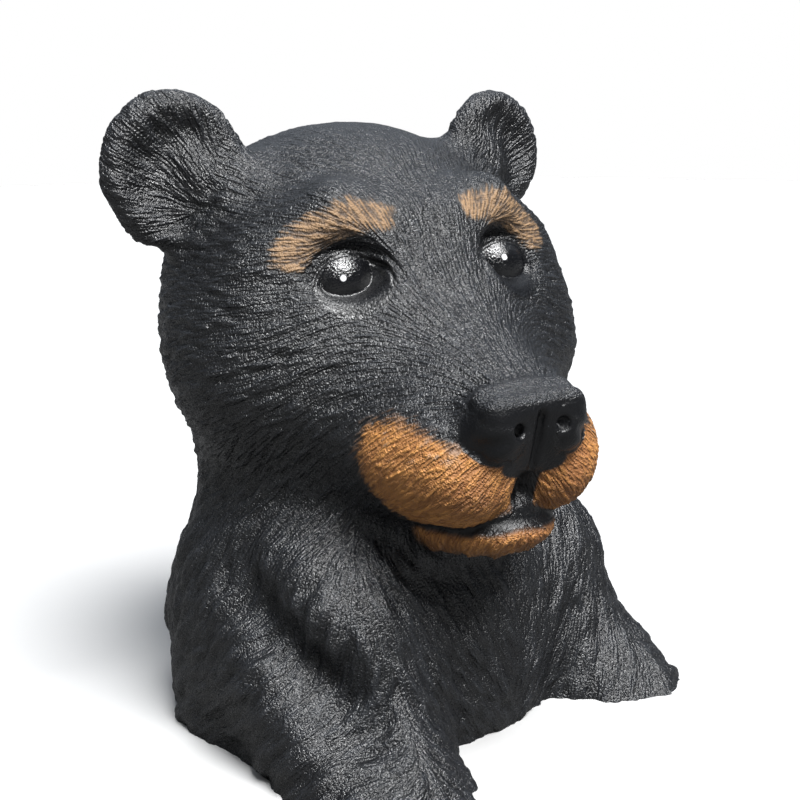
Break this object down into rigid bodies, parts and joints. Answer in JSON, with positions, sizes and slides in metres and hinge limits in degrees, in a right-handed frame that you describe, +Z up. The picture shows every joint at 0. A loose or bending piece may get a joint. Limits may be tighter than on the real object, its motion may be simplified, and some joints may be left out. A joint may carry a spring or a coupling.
{
  "type": "resin bear bust",
  "caption": "Cast resin bust of a seated black bear, head turned to its right, with moulded fur and a tan muzzle, cut flat below to stand on a level surface.",
  "frame": {"origin": "on the flat underside, straight below the middle of the head", "axes": "+Z up, -Y the way the chest faces, +X the bear's left"},
  "size_m": [0.2348, 0.2477, 0.2898],
  "materials": {
    "resin": "black resin in satin paint, with tan brows, muzzle and chin and gloss black eyes"
  },
  "bodies": {
    "root": {"bear_bust": "resin"}
  },
  "joints": []
}
